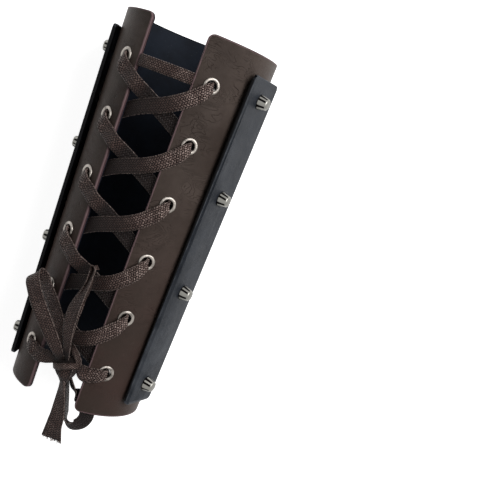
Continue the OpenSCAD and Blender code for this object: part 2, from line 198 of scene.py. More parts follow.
def addCone(bm, place, depth, segments, lowR, topR):
    made = bmesh.ops.create_cone(
        bm, cap_ends=True, segments=segments, radius1=lowR, radius2=topR, depth=depth,
    )
    bmesh.ops.transform(bm, matrix=place, verts=made["verts"])
    return made["verts"]


def bevelRims(bm, offset, segments):
    rims = [e for e in bm.edges if len(e.link_faces) == 2 and e.calc_face_angle(0) > sharpCorner]
    bmesh.ops.bevel(bm, geom=rims, offset=offset, segments=segments, profile=0.5, affect="EDGES", material=-1)


def routeSlopes(flat, gaps):
    slopes = []
    for k, ring in enumerate(flat):
        before = [(b - a) / gaps[k - 1] for a, b in zip(flat[k - 1], ring)] if k else None
        after = [(b - a) / gaps[k] for a, b in zip(ring, flat[k + 1])] if k < len(gaps) else None
        if before and after:
            g, h = gaps[k - 1], gaps[k]
            slopes.append([(a * h + b * g) / (g + h) for a, b in zip(before, after)])
        else:
            slopes.append(before or after)
    return slopes


def smoothRoute(rings, step):
    # Rings along one smooth curve, about a step apart. A ring is a centre, a width direction, half a width
    # and half a thickness
    flat = [[*centre, *across.normalized(), width, thick] for centre, across, width, thick in rings]
    gaps = [max(1e-3, math.dist(a[:3], b[:3])) for a, b in zip(flat, flat[1:])]
    slopes = routeSlopes(flat, gaps)
    made = []
    for k, gap in enumerate(gaps):
        parts = max(1, round(gap / step))
        ends = list(zip(flat[k], slopes[k], flat[k + 1], slopes[k + 1]))
        for j in range(parts + (k == len(gaps) - 1)):
            t = j / parts
            a, b = (1 + 2 * t) * (1 - t) ** 2, t * (1 - t) ** 2 * gap
            c, d = t * t * (3 - 2 * t), t * t * (t - 1) * gap
            values = [a * p + b * m + c * q + d * n for p, m, q, n in ends]
            width, thick = (p + t * (q - p) for p, q in zip(flat[k][6:], flat[k + 1][6:]))
            made.append((Vector(values[:3]), Vector(values[3:6]), width, thick))
    return made


# The flat lace: its section is a squared oval, and its powers say how flat the edges and the faces are
laceForm = {
    "width": 9.4, "thick": 1.3, "step": 0.8, "knotStep": 0.5, "around": 36, "fine": 2000,
    "edgePower": 0.45, "facePower": 0.8,
}
halfW = laceForm["width"] / 2
halfT = laceForm["thick"] / 2


def laceSection():
    # Across, up and the share of the way round, closest where the section turns at its edges
    fine = laceForm["fine"]
    dense = []
    for k in range(fine + 1):
        x, z = math.cos(2 * math.pi * k / fine), math.sin(2 * math.pi * k / fine)
        flatX = math.copysign(abs(x) ** laceForm["edgePower"], x)
        dense.append((flatX, math.copysign(abs(z) ** laceForm["facePower"], z)))
    way, bend = [0], [0]
    for k in range(fine):
        a, b, c = dense[k], dense[k + 1], dense[k + 2 if k + 2 <= fine else 1]
        ahead = ((b[0] - a[0]) * halfW, (b[1] - a[1]) * halfT)
        after = ((c[0] - b[0]) * halfW, (c[1] - b[1]) * halfT)
        aside = ahead[0] * after[1] - ahead[1] * after[0]
        turn = math.atan2(aside, ahead[0] * after[0] + ahead[1] * after[1])
        way.append(way[-1] + math.hypot(*ahead))
        bend.append(bend[-1] + math.hypot(*ahead) + abs(turn))
    made, k = [], 0
    for j in range(laceForm["around"] + 1):
        while k < fine and bend[k] < bend[-1] * j / laceForm["around"]:
            k += 1
        made.append((*dense[k], way[k] / way[-1]))
    return made


section = laceSection()

# Painted light on the lace: where a painted highlight makes it pale, where painted shade makes it dark, and
# how pale or dark each band of the knot is painted
paintedLaceLight = {
    "reach": 22, "fade": 16, "lessWorn": 9, "knotReach": 12, "knotFade": 7, "sunk": 5,
    "bandEdge": 0.75, "bandSunk": 0.7, "bandTop": 2.4, "bandDepth": 4,
    "wrap": 0.45, "fold": -0.1, "leftFold": 0, "rightFold": 0, "roll": 0.6, "core": -0.6,
}


def unit(value):
    return max(0, min(1, value))


def paintedLightOf(point, side, band):
    # Painted highlight over the right eyelets, less over the left and the last; painted shade below the
    # leather and at the knot
    if band:
        # Each band of the knot has its own painted light, with painted shade at its outer edges and low in
        # the knot
        low = unit((paintedLaceLight["bandTop"] - (point - knotAt).z) / paintedLaceLight["bandDepth"])
        return paintedLaceLight[band] - paintedLaceLight["bandEdge"] * max(0, side - 0.5) / 0.5 - paintedLaceLight["bandSunk"] * low
    near = []
    for row in range(1, eyelets["rows"] + 1):
        for hand in (-1, 1):
            gap = (point - over(hand * eyeletTurn(rowY(row)), rowY(row), 0)).length
            near.append(gap + paintedLaceLight["lessWorn"] * (hand < 0 or row == eyelets["rows"]))
    depth = leatherR(point.y) - point.xz.length
    dark = unit((paintedLaceLight["knotReach"] - (point - knotAt).length) / paintedLaceLight["knotFade"]) + unit(depth / paintedLaceLight["sunk"])
    return (unit((paintedLaceLight["reach"] - min(near)) / paintedLaceLight["fade"]) if depth < 0 else 0) - min(1, dark)


def laceBand(rings, band=None):
    # A grid rolled into a flat tube along the rings; U runs along the lace in widths and V once round it
    count, around = len(rings) - 1, laceForm["around"]
    bm = bmesh.new()
    uv = bm.loops.layers.uv.new("UVMap")
    rubbed = bm.verts.layers.float.new("rubbed")
    bmesh.ops.create_grid(bm, x_segments=count, y_segments=around, size=0.5, calc_uvs=True)
    along = [0]
    for a, b in zip(rings, rings[1:]):
        along.append(along[-1] + (b[0] - a[0]).length)
    for face in bm.faces:
        for loop in face.loops:
            k, j = round((loop.vert.co.x + 0.5) * count), round((loop.vert.co.y + 0.5) * around)
            loop[uv].uv = (along[k] / laceForm["width"], section[j][2])
    for vert in bm.verts:
        k = round((vert.co.x + 0.5) * count)
        x, z, _ = section[round((vert.co.y + 0.5) * around)]
        centre, across, width, thick = rings[k]
        ahead = (rings[min(k + 1, count)][0] - rings[max(k - 1, 0)][0]).normalized()
        across = (across - across.dot(ahead) * ahead).normalized()
        vert.co = centre + across * width * x + ahead.cross(across) * thick * z
        # The layer carries the painted highlight and painted shade of the lace
        vert[rubbed] = paintedLightOf(centre, abs(x), band)
    bmesh.ops.remove_doubles(bm, verts=bm.verts, dist=weld)
    bmesh.ops.holes_fill(bm, edges=[e for e in bm.edges if e.is_boundary], sides=0)
    bmesh.ops.recalc_face_normals(bm, faces=bm.faces)
    return bm


# Material helpers
def addNode(tree, kind, inputs=None, **settings):
    made = tree.nodes.new(kind)
    for key, value in settings.items():
        setattr(made, key, value)
    for key, value in (inputs or {}).items():
        if isinstance(value, bpy.types.NodeSocket):
            tree.links.new(value, made.inputs[key])
        else:
            made.inputs[key].default_value = value
    return made


def calc(tree, operation, *values, clamp=False):
    made = addNode(tree, "ShaderNodeMath", dict(enumerate(values)), operation=operation, use_clamp=clamp)
    return made.outputs[0]


def times(tree, a, b):
    return calc(tree, "MULTIPLY", a, b)


def scaled(tree, value, factor, added, clamp=False):
    return calc(tree, "MULTIPLY_ADD", value, factor, added, clamp=clamp)


def mixColour(tree, amount, a, b):
    return addNode(tree, "ShaderNodeMix", {0: amount, 6: a, 7: b}, data_type="RGBA").outputs[2]


def tint(tree, colour, other, mask, share):
    return mixColour(tree, times(tree, mask, share), colour, other)


def ramp(tree, value, low, high, start=0.0, end=1.0):
    limits = {"Value": value, "From Min": low, "From Max": high, "To Min": start, "To Max": end}
    return addNode(tree, "ShaderNodeMapRange", limits, interpolation_type="SMOOTHSTEP").outputs[0]


def noiseOf(tree, vector, scale, detail=3.0, roughness=0.5, distortion=0.0):
    inputs = {
        "Vector": vector, "Scale": scale, "Detail": detail, "Roughness": roughness, "Distortion": distortion,
    }
    return addNode(tree, "ShaderNodeTexNoise", inputs).outputs[0]


def spots(tree, vector, field, limits):
    return ramp(tree, noiseOf(tree, vector, *field), *limits)


def poresOf(tree, uv, scale, *limits):
    cells = addNode(tree, "ShaderNodeTexVoronoi", {"Vector": uv, "Scale": scale}, feature="DISTANCE_TO_EDGE")
    return ramp(tree, cells.outputs[0], *limits)


def stretch(tree, uv, scaleU, scaleV, turn=0.0):
    inputs = {"Vector": uv, "Rotation": (0, 0, turn), "Scale": (scaleU, scaleV, 1.0)}
    return addNode(tree, "ShaderNodeMapping", inputs).outputs[0]


def uvOf(tree):
    uv = addNode(tree, "ShaderNodeUVMap", uv_map="UVMap").outputs[0]
    parts = addNode(tree, "ShaderNodeSeparateXYZ", {0: uv})
    return uv, parts.outputs[0], parts.outputs[1]


def attribute(tree, name):
    return addNode(tree, "ShaderNodeAttribute", attribute_name=name).outputs["Fac"]


def newMaterial(name, sockets):
    material = bpy.data.materials.new(name)
    material.use_nodes = True
    shader = material.node_tree.nodes["Principled BSDF"]
    for key, value in sockets.items():
        shader.inputs[key].default_value = value
    return material, material.node_tree, shader


def dress(tree, shader, colour, rough=None, bumps=()):
    # A bump is a height and the metres that it reaches; each lies on the one before
    tree.links.new(colour, shader.inputs["Base Color"])
    if rough:
        tree.links.new(rough, shader.inputs["Roughness"])
    normal = {}
    for height, reach in bumps:
        inputs = {"Strength": 1.0, "Distance": reach, "Height": height, **normal}
        normal = {"Normal": addNode(tree, "ShaderNodeBump", inputs).outputs[0]}
    if normal:
        tree.links.new(normal["Normal"], shader.inputs["Normal"])


# The lace is a flat braid of waxed thread, its stitches slanting one way and the other in turn; painted shade
# darkens the gaps between stitches, the edges, the lace below the leather and the knot, and painted glints
# lighten the crests near the right eyelets
laceLook = {
    "dark": (0.005, 0.0027, 0.0024, 1), "light": (0.115, 0.069, 0.058, 1), "worn": (0.6, 0.47, 0.42, 1),
    "specular": 0.17, "rough": (0.0, 1.0, 0.75, 0.34), "bump": 0.0005,
    "columns": 14, "stitches": 5.6, "slant": 0.3, "wobble": (5.0, 2.0), "sway": 0.03, "slip": 0.12,
    "ribPower": 3.0, "ribs": (0.75, 0.25), "bulgePower": 2.5, "crest": (0.42, 0.88), "chance": 0.35,
    "patchNoise": (1.3, 3.0), "patches": (0.35, 0.68), "patchShare": 0.35, "patchLight": (0.35, 0.5),
    "tips": (0.65, 0.95), "tipChance": (0.1, 0.9, 0.2, 1.0), "tipShare": 0.6,
    "sunk": (-0.9, 0.0, 0.88, 0.0), "paleThread": (1.2, 1.5), "edgeShade": (0.33, 0.44, 0.0, 0.45),
    "edgeLine": (0.43, 0.47), "edgeNoise": (6.0, 3.0), "edgeBreaks": (0.4, 0.6), "edgeShare": 0.4,
}


def withinCell(tree, value):
    return scaled(tree, calc(tree, "FRACT", value), 2.0, -1.0)


def domed(tree, value, power):
    return calc(tree, "SUBTRACT", 1.0, calc(tree, "POWER", calc(tree, "ABSOLUTE", value), power))


def braid(tree, uv, u, v):
    # The height of the stitches and a chance for each of them
    look = laceLook
    wobble = calc(tree, "SUBTRACT", noiseOf(tree, uv, *look["wobble"]), 0.5)
    column = times(tree, scaled(tree, wobble, look["sway"], v), look["columns"])
    across = withinCell(tree, column)
    odd = calc(tree, "MODULO", calc(tree, "FLOOR", column), 2.0)
    way = scaled(tree, odd, 2.0, -1.0)
    lean = times(tree, way, times(tree, across, look["slant"]))
    pulled = times(tree, scaled(tree, wobble, look["slip"], u), look["stitches"])
    phase = calc(tree, "ADD", scaled(tree, odd, 0.5, lean), pulled)
    ribs = calc(tree, "SQRT", domed(tree, across, look["ribPower"]), clamp=True)
    bulge = domed(tree, withinCell(tree, phase), look["bulgePower"])
    height = times(tree, scaled(tree, ribs, *look["ribs"]), bulge)
    place = {0: calc(tree, "FLOOR", phase), 1: calc(tree, "FLOOR", column)}
    cell = addNode(tree, "ShaderNodeCombineXYZ", place)
    chance = addNode(tree, "ShaderNodeTexWhiteNoise", {"Vector": cell.outputs[0]}, noise_dimensions="2D")
    return height, chance.outputs[0]


def laceMaterial():
    look = laceLook
    dark, worn = look["dark"], look["worn"]
    material, tree, shader = newMaterial("waxedLace", {"Specular IOR Level": look["specular"]})
    uv, u, v = uvOf(tree)
    rubbed = attribute(tree, "rubbed")
    height, chance = braid(tree, uv, u, v)
    patches = spots(tree, uv, look["patchNoise"], look["patches"])
    # Random patches of tone, raised by the painted highlight and lowered by the painted shade of the layer
    patches = scaled(tree, patches, look["patchShare"], rubbed, clamp=True)
    # Light crests and dark gaps between the stitches: painted shade in the gaps
    crest = ramp(tree, height, *look["crest"])
    glow = scaled(tree, patches, *look["patchLight"])
    shade = times(tree, crest, scaled(tree, chance, look["chance"], glow))
    colour = mixColour(tree, shade, dark, look["light"])
    # Painted glints on the tallest crests where the painted highlight is strong
    shine = times(tree, patches, ramp(tree, chance, *look["tipChance"]))
    shine = times(tree, ramp(tree, height, *look["tips"]), shine)
    colour = tint(tree, colour, worn, shine, look["tipShare"])
    # Painted shade where the lace lies below the leather and in the knot
    colour = mixColour(tree, ramp(tree, rubbed, *look["sunk"]), colour, dark)
    # Painted shade towards both edges of the lace
    side = calc(tree, "SUBTRACT", calc(tree, "FRACT", times(tree, v, 2.0)), 0.5)
    side = calc(tree, "ABSOLUTE", side)
    colour = mixColour(tree, ramp(tree, side, *look["edgeShade"]), colour, dark)
    breaks = spots(tree, uv, look["edgeNoise"], look["edgeBreaks"])
    edge = times(tree, ramp(tree, side, *look["edgeLine"]), breaks)
    colour = tint(tree, colour, worn, edge, look["edgeShare"])
    colour = mixColour(tree, ramp(tree, rubbed, *look["paleThread"]), colour, worn)
    dress(tree, shader, colour, ramp(tree, crest, *look["rough"]), [(height, look["bump"])])
    return material


waxedLace = laceMaterial()

# The loose ends of the bow, from the middle of the knot: a centre, a width direction and half a width
looseLace = {
    "bow_loop_left": [
        ((-5.6, 0.8, -0.2), (0.7, 0.7, 0), 1.5),
        ((-6.9, 6.5, 2.9), (0.7, 0.7, 0.1), 2.5),
        ((-8.5, 13.5, 3.6), (0.7, 0.7, 0.1), 4),
        ((-13, 20.5, 3.2), (0.7, 0.7, 0.1), 4.6),
        ((-18.6, 26.8, 1), (0.7, 0.7, 0.2), 4.7),
        ((-24.4, 32.4, -0.8), (0.7, 0.7, 0.3), 4.7),
        ((-29.6, 36.8, -2.2), (0.7, 0.7, 0.35), 4.7),
        ((-35, 40.6, -4.6), (0.7, 0.7, 0.2), 4.8),
        ((-38.4, 41.4, -4), (0.7, 0.7, 0), 5),
        ((-39.6, 40.6, -1.4), (0.7, 0.7, 0), 5),
        ((-38.2, 38.8, 1.8), (0.7, 0.7, 0), 5),
        ((-34.8, 35.6, 4.6), (0.7, 0.7, 0), 4.9),
        ((-30, 30.6, 6.8), (0.7, 0.7, 0), 4.8),
        ((-23.4, 24.2, 8.2), (0.7, 0.7, 0), 4.8),
        ((-16, 16.8, 8.5), (0.7, 0.7, 0), 4.7),
        ((-9, 9, 7.4), (0.7, 0.7, 0), 4),
        ((-5, 3.2, 4.9), (0.7, 0.7, 0), 2.8),
        ((-3.4, 0.2, 2.8), (0.7, 0.7, 0), 1.8),
    ],
    "bow_loop_up": [
        ((0.2, 1.8, 3), (0.9, 0, 0.4), 1.4),
        ((-1.2, 8, 5.2), (0.95, 0, 0.3), 2.7),
        ((-2.8, 15, 7), (0.97, 0, 0.25), 3.6),
        ((-4.2, 23, 8), (0.97, 0, 0.25), 4.3),
        ((-4.4, 29.4, 8.6), (0.95, 0, 0.3), 4.6),
        ((-4, 36.8, 8.8), (0.88, 0, 0.47), 4.7),
        ((-3, 43.4, 8.6), (0.76, 0, 0.65), 4.7),
        ((-1.9, 50.6, 8), (0.6, 0, 0.8), 4.6),
        ((-1.5, 56.8, 7.3), (0.5, 0, 0.86), 4.5),
        ((-1.4, 60, 6.8), (0.4, 0.1, 0.9), 4.4),
        ((-2.1, 61.2, 6.4), (0.3, 0.2, 1), 4.4),
        ((-2.8, 60, 6), (0.2, 0.2, 1), 4.4),
        ((-2.6, 52.4, 5.2), (-0.1, 0, 1), 4.5),
        ((-3.3, 45, 4.4), (-0.3, 0, 0.95), 4.5),
        ((-5.2, 37.6, 3.4), (-0.6, 0, 0.8), 4.5),
        ((-6.2, 29.4, 2.2), (-1, 0, 0.2), 4.2),
        ((-6, 21.5, 1.2), (-1, 0, 0), 4.2),
        ((-4.6, 13.2, 1), (-1, 0, 0), 2.8),
        ((-3, 6.4, 0.6), (-1, 0, 0), 1.6),
        ((-1.3, 2.3, 0), (-1, 0, 0), 1.4),
    ],
    "lace_tail_down": [
        ((-2, 8, -1.8), (1, 0, 0.2), 1.8),
        ((-0.8, 1.5, -1.8), (1, 0, 0.2), 2),
        ((-0.4, -4.5, -1.5), (1, 0, 0.2), 2.4),
        ((-0.1, -10, -1), (0.8, 0, 0.6), 2.7),
        ((1.1, -14.6, -0.6), (0.72, 0, 0.7), 3.6),
        ((2.6, -20, -0.2), (0.83, 0, 0.55), 4.3),
        ((4, -26.8, 0), (0.94, 0, 0.35), 4.7),
        ((4.9, -33.8, -0.8), (1, 0, 0.1), 4.9),
        ((4.8, -41, -2), (1, -0.1, 0), 5.3),
        ((5.2, -49.6, -4), (1, -0.1, -0.1), 6.6),
    ],
    "lace_tail_tucked": [
        ((3.2, -7.2, -3.3), (0.2, 0.1, 1), 2.2),
        ((4.8, -12, -4.6), (0.6, 0.3, 0.75), 2.7),
        ((7.3, -16.6, -6.6), (0.5, 0.4, 0.8), 3.2),
        ((11.2, -20, -9.4), (-0.5, -0.5, 0.7), 4.4),
        ((15.2, -23, -11.4), (-0.75, -0.45, 0.5), 4.6),
        ((17.8, -27.5, -12.8), (-0.85, -0.1, 0.5), 4.7),
        ((18.4, -32.5, -13.8), (-0.8, 0.3, 0.5), 4.7),
        ((15.9, -38, -13.8), (-0.45, 0.75, 0.5), 4.7),
        ((11.9, -40.2, -12.4), (-0.1, 0.8, 0.6), 4.7),
        ((8.6, -38.2, -10.4), (0.1, 0.5, 0.85), 4.6),
        ((6.8, -32.6, -8.6), (0.08, 0.1, 1), 4.4),
        ((4.7, -24.6, -7.2), (0.05, 0.1, 1), 4.3),
        ((2.5, -16, -5.8), (0.05, 0.1, 1), 3.6),
        ((0.7, -8.8, -4.6), (0.15, 0.15, 1), 2.2),
    ],
}


# The cut end of the hanging tail: threads stand out of it, a few of them pale
fray = {
    "seed": 11, "threads": 64, "segments": 5, "rootR": 0.28, "tipR": 0.14, "longest": 3, "shortest": 0.3,
    "root": 0.6, "acrossShare": 0.97, "upShare": 0.6, "acrossLean": 0.3, "upLean": 0.4, "cut": 0.2,
    "paleShare": 0.2, "pale": 1.6, "dark": -0.5, "ragged": 1.3, "raggedScale": 0.9, "raggedRow": 3,
}


def frayEnd(bm, rings):
    rng = random.Random(fray["seed"])
    centre, across, width, thick = rings[-1]
    ahead = (centre - rings[-2][0]).normalized()
    across = (across - across.dot(ahead) * ahead).normalized()
    up = ahead.cross(across)
    rubbed = bm.verts.layers.float["rubbed"]
    for vert in bm.verts:
        if (vert.co - centre).dot(ahead) > -fray["cut"]:
            at = Vector(((vert.co - centre).dot(across) * fray["raggedScale"], fray["raggedRow"], 0))
            vert.co += ahead * fray["ragged"] * noise.noise(at)
    for _ in range(fray["threads"]):
        start = centre + across * width * rng.uniform(-fray["acrossShare"], fray["acrossShare"])
        start += up * thick * rng.uniform(-fray["upShare"], fray["upShare"])
        lean = ahead + across * rng.gauss(0, fray["acrossLean"])
        lean = (lean + up * rng.gauss(0, fray["upLean"])).normalized()
        size = fray["longest"] * rng.uniform(fray["shortest"], 1)
        place = Matrix.Translation(start + lean * (size / 2 - fray["root"]))
        place = place @ lean.to_track_quat("Z", "X").to_matrix().to_4x4()
        # The same layer gives each thread its own pale or dark tone
        shade = fray["pale"] if rng.random() < fray["paleShare"] else fray["dark"]
        for vert in addCone(bm, place, size, fray["segments"], fray["rootR"], fray["tipR"]):
            vert[rubbed] = shade


def addLooseLace(node, route):
    rings = [(knotAt + Vector(centre), Vector(across), width, halfT) for centre, across, width in route]
    rings = smoothRoute(rings, laceForm["step"])
    hangs = node == "lace_tail_down"
    bm = laceBand(rings)
    if hangs:
        frayEnd(bm, rings)
    piece = finishPiece(node, bm, waxedLace)


for node, route in looseLace.items():
    addLooseLace(node, route)
print("loose lace and camera are in place")

# The lace between the eyelets: gaps, bends and sags in millimetres, droops and lifts row by row down the slit
run = {
    "gap": 0.1, "lip": 0.6, "bend": 1.6, "mouth": 0.4, "spread": 2.6, "rightSag": 3.9, "leftSag": 4.2,
    "bunched": 0.8, "folded": 0.78, "crushed": 1.7, "eased": 0.4, "barThick": 1.2,
    "leftOut": (0.5, 1.5, 1.8, 0.9), "outWay": (-1, -0.4, -0.6), "outWider": 0.15,
    "upper": (0.5, 0.75, 1.05), "lower": (-1.95, -0.95, -0.3), "liftAt": (0.3, 0.5, 0.7),
    "rightDroop": (6.2, 6.8, 6.6, 8.4, 7.6), "leftDroop": (4, 4.1, 3.7, 4.4, 4.1), "droopScale": 9.48,
    "rightTie": (7.2, 0.2, 0.3), "leftTie": (-7.7, -2, -0.3),
}
lie = halfT + run["gap"]
flangeTop = eyelets["flangeH"] + eyelets["flangeR"] ** 2 / (2 * cuff["wristR"])
washerSeat = wallT + eyelets["washerR"] ** 2 / (2 * (cuff["wristR"] - wallT))
backH = -(washerSeat + eyelets["washerT"] + run["lip"] + laceForm["thick"])


def foldedRing(k, height, way):
    # Bunched in the hole, then turned flat round its rim as k goes from nought to one
    turn = math.pi / 2 * k
    width = run["bunched"] * eyelets["boreR"] * (1 - k) + run["folded"] * halfW * k
    rise = way * run["bend"] * math.sin(turn)
    thick = (run["crushed"] - run["eased"] * k) * halfT
    return (run["bend"] * (1 - math.cos(turn)), height + rise, width, thick)


# Rings beside an eyelet: the distance from the hole, the height over the leather, half the width and half the
# thickness
faceRings = [foldedRing(k, run["mouth"], 1) for k in (0, 0.5, 1)] + [
    (eyelets["washerR"], flangeTop + 3 * run["gap"] + halfT, 0.94 * halfW, 1.15 * halfT),
    (eyelets["washerR"] + run["spread"], lie + 3 * run["gap"], halfW, halfT),
    (eyelets["washerR"] + 2 * run["spread"], lie + 2 * run["gap"], halfW, halfT),
]
backRings = [foldedRing(k, backH + run["bend"], -1) for k in (0, 0.5, 1)] + [
    (eyelets["washerR"] - 1, backH, 0.75 * halfW, 1.25 * halfT),
    (eyelets["washerR"] + run["spread"] / 2, backH + halfT, 0.85 * halfW, 1.15 * halfT),
    (eyelets["washerR"] + 1.7 * run["spread"], -wallT - lie - 5 * run["gap"], 0.96 * halfW, halfT),
]


def lacePass(row, side):
    # Out of an eyelet, over its flap, across the slit and under the other flap to the next row
    pitch = rowY(row) - rowY(row + 1)
    turn = eyeletTurn(rowY(row)) + eyeletTurn(rowY(row + 1))
    span = turn * leatherR((rowY(row) + rowY(row + 1)) / 2)
    slope, length = math.atan(pitch / span), math.hypot(span, pitch)
    edge = eyelets["inset"] / math.cos(slope) + halfW * math.tan(slope)
    most = run["rightDroop" if side > 0 else "leftDroop"][row - 1]

    def droop(t):
        return run["droopScale"] * t * (1 - t) ** 3 * most

    def angle(a):
        return side * (eyeletTurn(rowY(row)) - turn * a / length)

    def at(a, h):
        return over(angle(a), rowY(row) - a * math.sin(slope) - droop(a / length), h)

    def width(a, k):
        s = side * math.sin(slope) * k
        return Vector((s * math.cos(angle(a)), -math.cos(slope), -s * math.sin(angle(a))))

    rings = [(at(a, h), width(a, min(1, j / 2)), w, t) for j, (a, h, w, t) in enumerate(faceRings)]
    if side < 0:
        for j, out in enumerate(run["leftOut"], 2):
            centre, across, w, t = rings[j]
            moved = centre + Vector([part * out for part in run["outWay"]])
            rings[j] = (moved, across, w + run["outWider"] * out, t)
    start, end = at(edge, lie + 3 * run["gap"]), at(length - edge, -wallT - lie - 3 * run["gap"])
    rings.append((start, width(edge, 1), halfW, halfT))
    for t, lift in zip(run["liftAt"], run["upper"] if side > 0 else run["lower"]):
        a = edge + t * (length - 2 * edge)
        hang = droop(a / length) - (1 - t) * droop(edge / length) - t * droop(1 - edge / length)
        hung = start.lerp(end, t) + Vector((0, -hang, laceForm["thick"] * lift))
        rings.append((hung, width(a, 1), halfW, halfT))
    rings.append((end, width(length - edge, 1), halfW, halfT))
    back = [
        (at(length - a, h), width(length - a, min(1, j / 2)), w, t)
        for j, (a, h, w, t) in enumerate(backRings)
    ]
    return rings + back[::-1]


def acrossRing(ring, y, drop, side):
    a, h, w, t = ring
    return (over(side * (eyeletTurn(y) - a / leatherR(y)), y - drop, h), Vector((0, -1, 0)), w, t)


def laceToKnot(side):
    sag = run["rightSag" if side > 0 else "leftSag"]
    drops = [sag * max(0, j - 1) / (len(faceRings) - 2) for j in range(len(faceRings))]
    rings = [acrossRing(ring, lastY, drop, side) for ring, drop in zip(faceRings, drops)]
    edge = over(side * edgeTurn(lastY), lastY - sag, lie + 2 * run["gap"])
    tie = knotAt + Vector(run["rightTie" if side > 0 else "leftTie"])
    rings.append((edge, Vector((0, -1, 0)), halfW, halfT))
    rings.append((edge.lerp(tie, 0.5), Vector((0, -1, 0.1)), 0.86 * halfW, 1.1 * halfT))
    rings.append((tie, Vector((0, -1, 0)), 0.45 * halfW, 1.5 * halfT))
    return rings


def barHalf(side):
    # Half of the bunched bar across the top row, from an eyelet to the edge of its flap
    y = rowY(1)
    x, r = slitHalf(y), leatherR(y) - wallT
    rings = [acrossRing(ring, y, 0, side) for ring in backRings]
    edge = Vector((side * x, y, math.sqrt(r * r - x * x) - lie - 2 * run["gap"]))
    rings.append((edge, Vector((0, -1, 0)), run["folded"] * halfW, run["barThick"] * halfT))
    return rings


def strandDown(side):
    rings = []
    for row in range(1, eyelets["rows"]):
        rings += lacePass(row, side if row % 2 else -side)
    return rings + laceToKnot(-side)


laceRun = strandDown(1)[::-1] + barHalf(1) + barHalf(-1)[::-1] + strandDown(-1)
finishPiece("lacing", laceBand(smoothRoute(laceRun, laceForm["step"])), waxedLace, name="laceRun")
print("lace is through the eyelets")

# Dark brown leather with fine creases across it, painted shade darkening the creases, a plum edge and a paler
# line where the edge is burnished
leatherLook = {
    "deep": (0.045, 0.0325, 0.027, 1), "brown": (0.086, 0.066, 0.0565, 1), "wrist": (0.057, 0.036, 0.0305, 1),
    "worn": (0.085, 0.062, 0.053, 1), "fold": (0.022, 0.015, 0.0125, 1),
    "side": (0.085, 0.05, 0.054, 1), "line": (0.19, 0.125, 0.13, 1),
    "specular": 0.07, "roughNoise": (12.0, 4.0, 0.6), "rough": (0.22, 0.34), "toWrist": (-0.9, 0.6, 1.0, 0.0),
    "patchNoise": (2.6, 4.0, 0.6), "patches": (0.3, 0.7),
    "wornNoise": (24.0, 4.0, 0.7), "wornSpots": (0.55, 0.8), "wornShare": 0.4,
    "creaseStretch": (1.1, 2.9, 0.5), "creaseNoise": (3.0, 2.0, 0.4, 1.1), "creaseCount": 21.0,
    "creaseWidth": (0.0, 0.1, 1.0, 0.0), "creasedNoise": (5.0, 2.0), "creased": (0.43, 0.6),
    "fewerAtWrist": (-0.6, 1.0), "creaseShare": 0.5, "crease": 0.0003,
    "pores": (130.0, 0.0, 0.25), "grain": 0.00005, "lineNoise": (30.0, 3.0), "lineSway": 0.5,
    "lineEnds": (0.65, 1.05, 1.0, 0.0), "sideEnds": (-0.7, -0.3, 1.0, 0.0),
}


def creaseLines(tree, uv):
    # The contour lines of a stretched noise run side by side, as creases do
    field = noiseOf(tree, stretch(tree, uv, *leatherLook["creaseStretch"]), *leatherLook["creaseNoise"])
    lines = calc(tree, "FRACT", times(tree, field, leatherLook["creaseCount"]))
    return ramp(tree, calc(tree, "ABSOLUTE", calc(tree, "SUBTRACT", lines, 0.5)), *leatherLook["creaseWidth"])


def leatherMaterial():
    look = leatherLook
    material, tree, shader = newMaterial("brownLeather", {"Specular IOR Level": look["specular"]})
    uv, _, along = uvOf(tree)
    edge = attribute(tree, "edge")
    toWrist = ramp(tree, along, *look["toWrist"])
    creased = spots(tree, uv, look["creasedNoise"], look["creased"])
    creased = times(tree, creased, scaled(tree, toWrist, *look["fewerAtWrist"]))
    creases = times(tree, creaseLines(tree, uv), creased)
    patches = spots(tree, uv, look["patchNoise"], look["patches"])
    colour = mixColour(tree, patches, look["deep"], mixColour(tree, toWrist, look["brown"], look["wrist"]))
    worn = spots(tree, uv, look["wornNoise"], look["wornSpots"])
    colour = tint(tree, colour, look["worn"], worn, look["wornShare"])
    # Painted shade in the creases
    colour = tint(tree, colour, look["fold"], creases, look["creaseShare"])
    sway = calc(tree, "SUBTRACT", noiseOf(tree, uv, *look["lineNoise"]), 0.5)
    inward = scaled(tree, sway, look["lineSway"], edge)
    colour = mixColour(tree, ramp(tree, inward, *look["lineEnds"]), colour, look["line"])
    colour = mixColour(tree, ramp(tree, edge, *look["sideEnds"]), colour, look["side"])
    rough = scaled(tree, noiseOf(tree, uv, *look["roughNoise"]), *look["rough"])
    sunk = times(tree, creases, -1.0)
    bumps = [(poresOf(tree, uv, *look["pores"]), look["grain"]), (sunk, look["crease"])]
    dress(tree, shader, colour, rough, bumps)
    return material


# Thin navy lining, dull on its open side
liningLook = {
    "dark": (0.004, 0.0055, 0.0095, 1), "navy": (0.01, 0.014, 0.023, 1), "speck": (0.06, 0.065, 0.075, 1),
    "rough": 0.7, "specular": 0.14, "cloudNoise": (5.0, 5.0, 0.6), "cloud": (0.3, 0.7),
    "speckScale": 42.0, "specks": (0.06, 0.14, 0.35, 0.0), "napNoise": (220.0, 3.0), "nap": 0.00005,
}


def liningMaterial():
    look = liningLook
    sockets = {"Roughness": look["rough"], "Specular IOR Level": look["specular"]}
    material, tree, shader = newMaterial("navyLining", sockets)
    uv, _, _ = uvOf(tree)
    cloud = spots(tree, uv, look["cloudNoise"], look["cloud"])
    colour = mixColour(tree, cloud, look["dark"], look["navy"])
    cells = addNode(tree, "ShaderNodeTexVoronoi", {"Vector": uv, "Scale": look["speckScale"]}).outputs[0]
    colour = mixColour(tree, ramp(tree, cells, *look["specks"]), colour, look["speck"])
    dress(tree, shader, colour, bumps=[(noiseOf(tree, uv, *look["napNoise"]), look["nap"])])
    return material


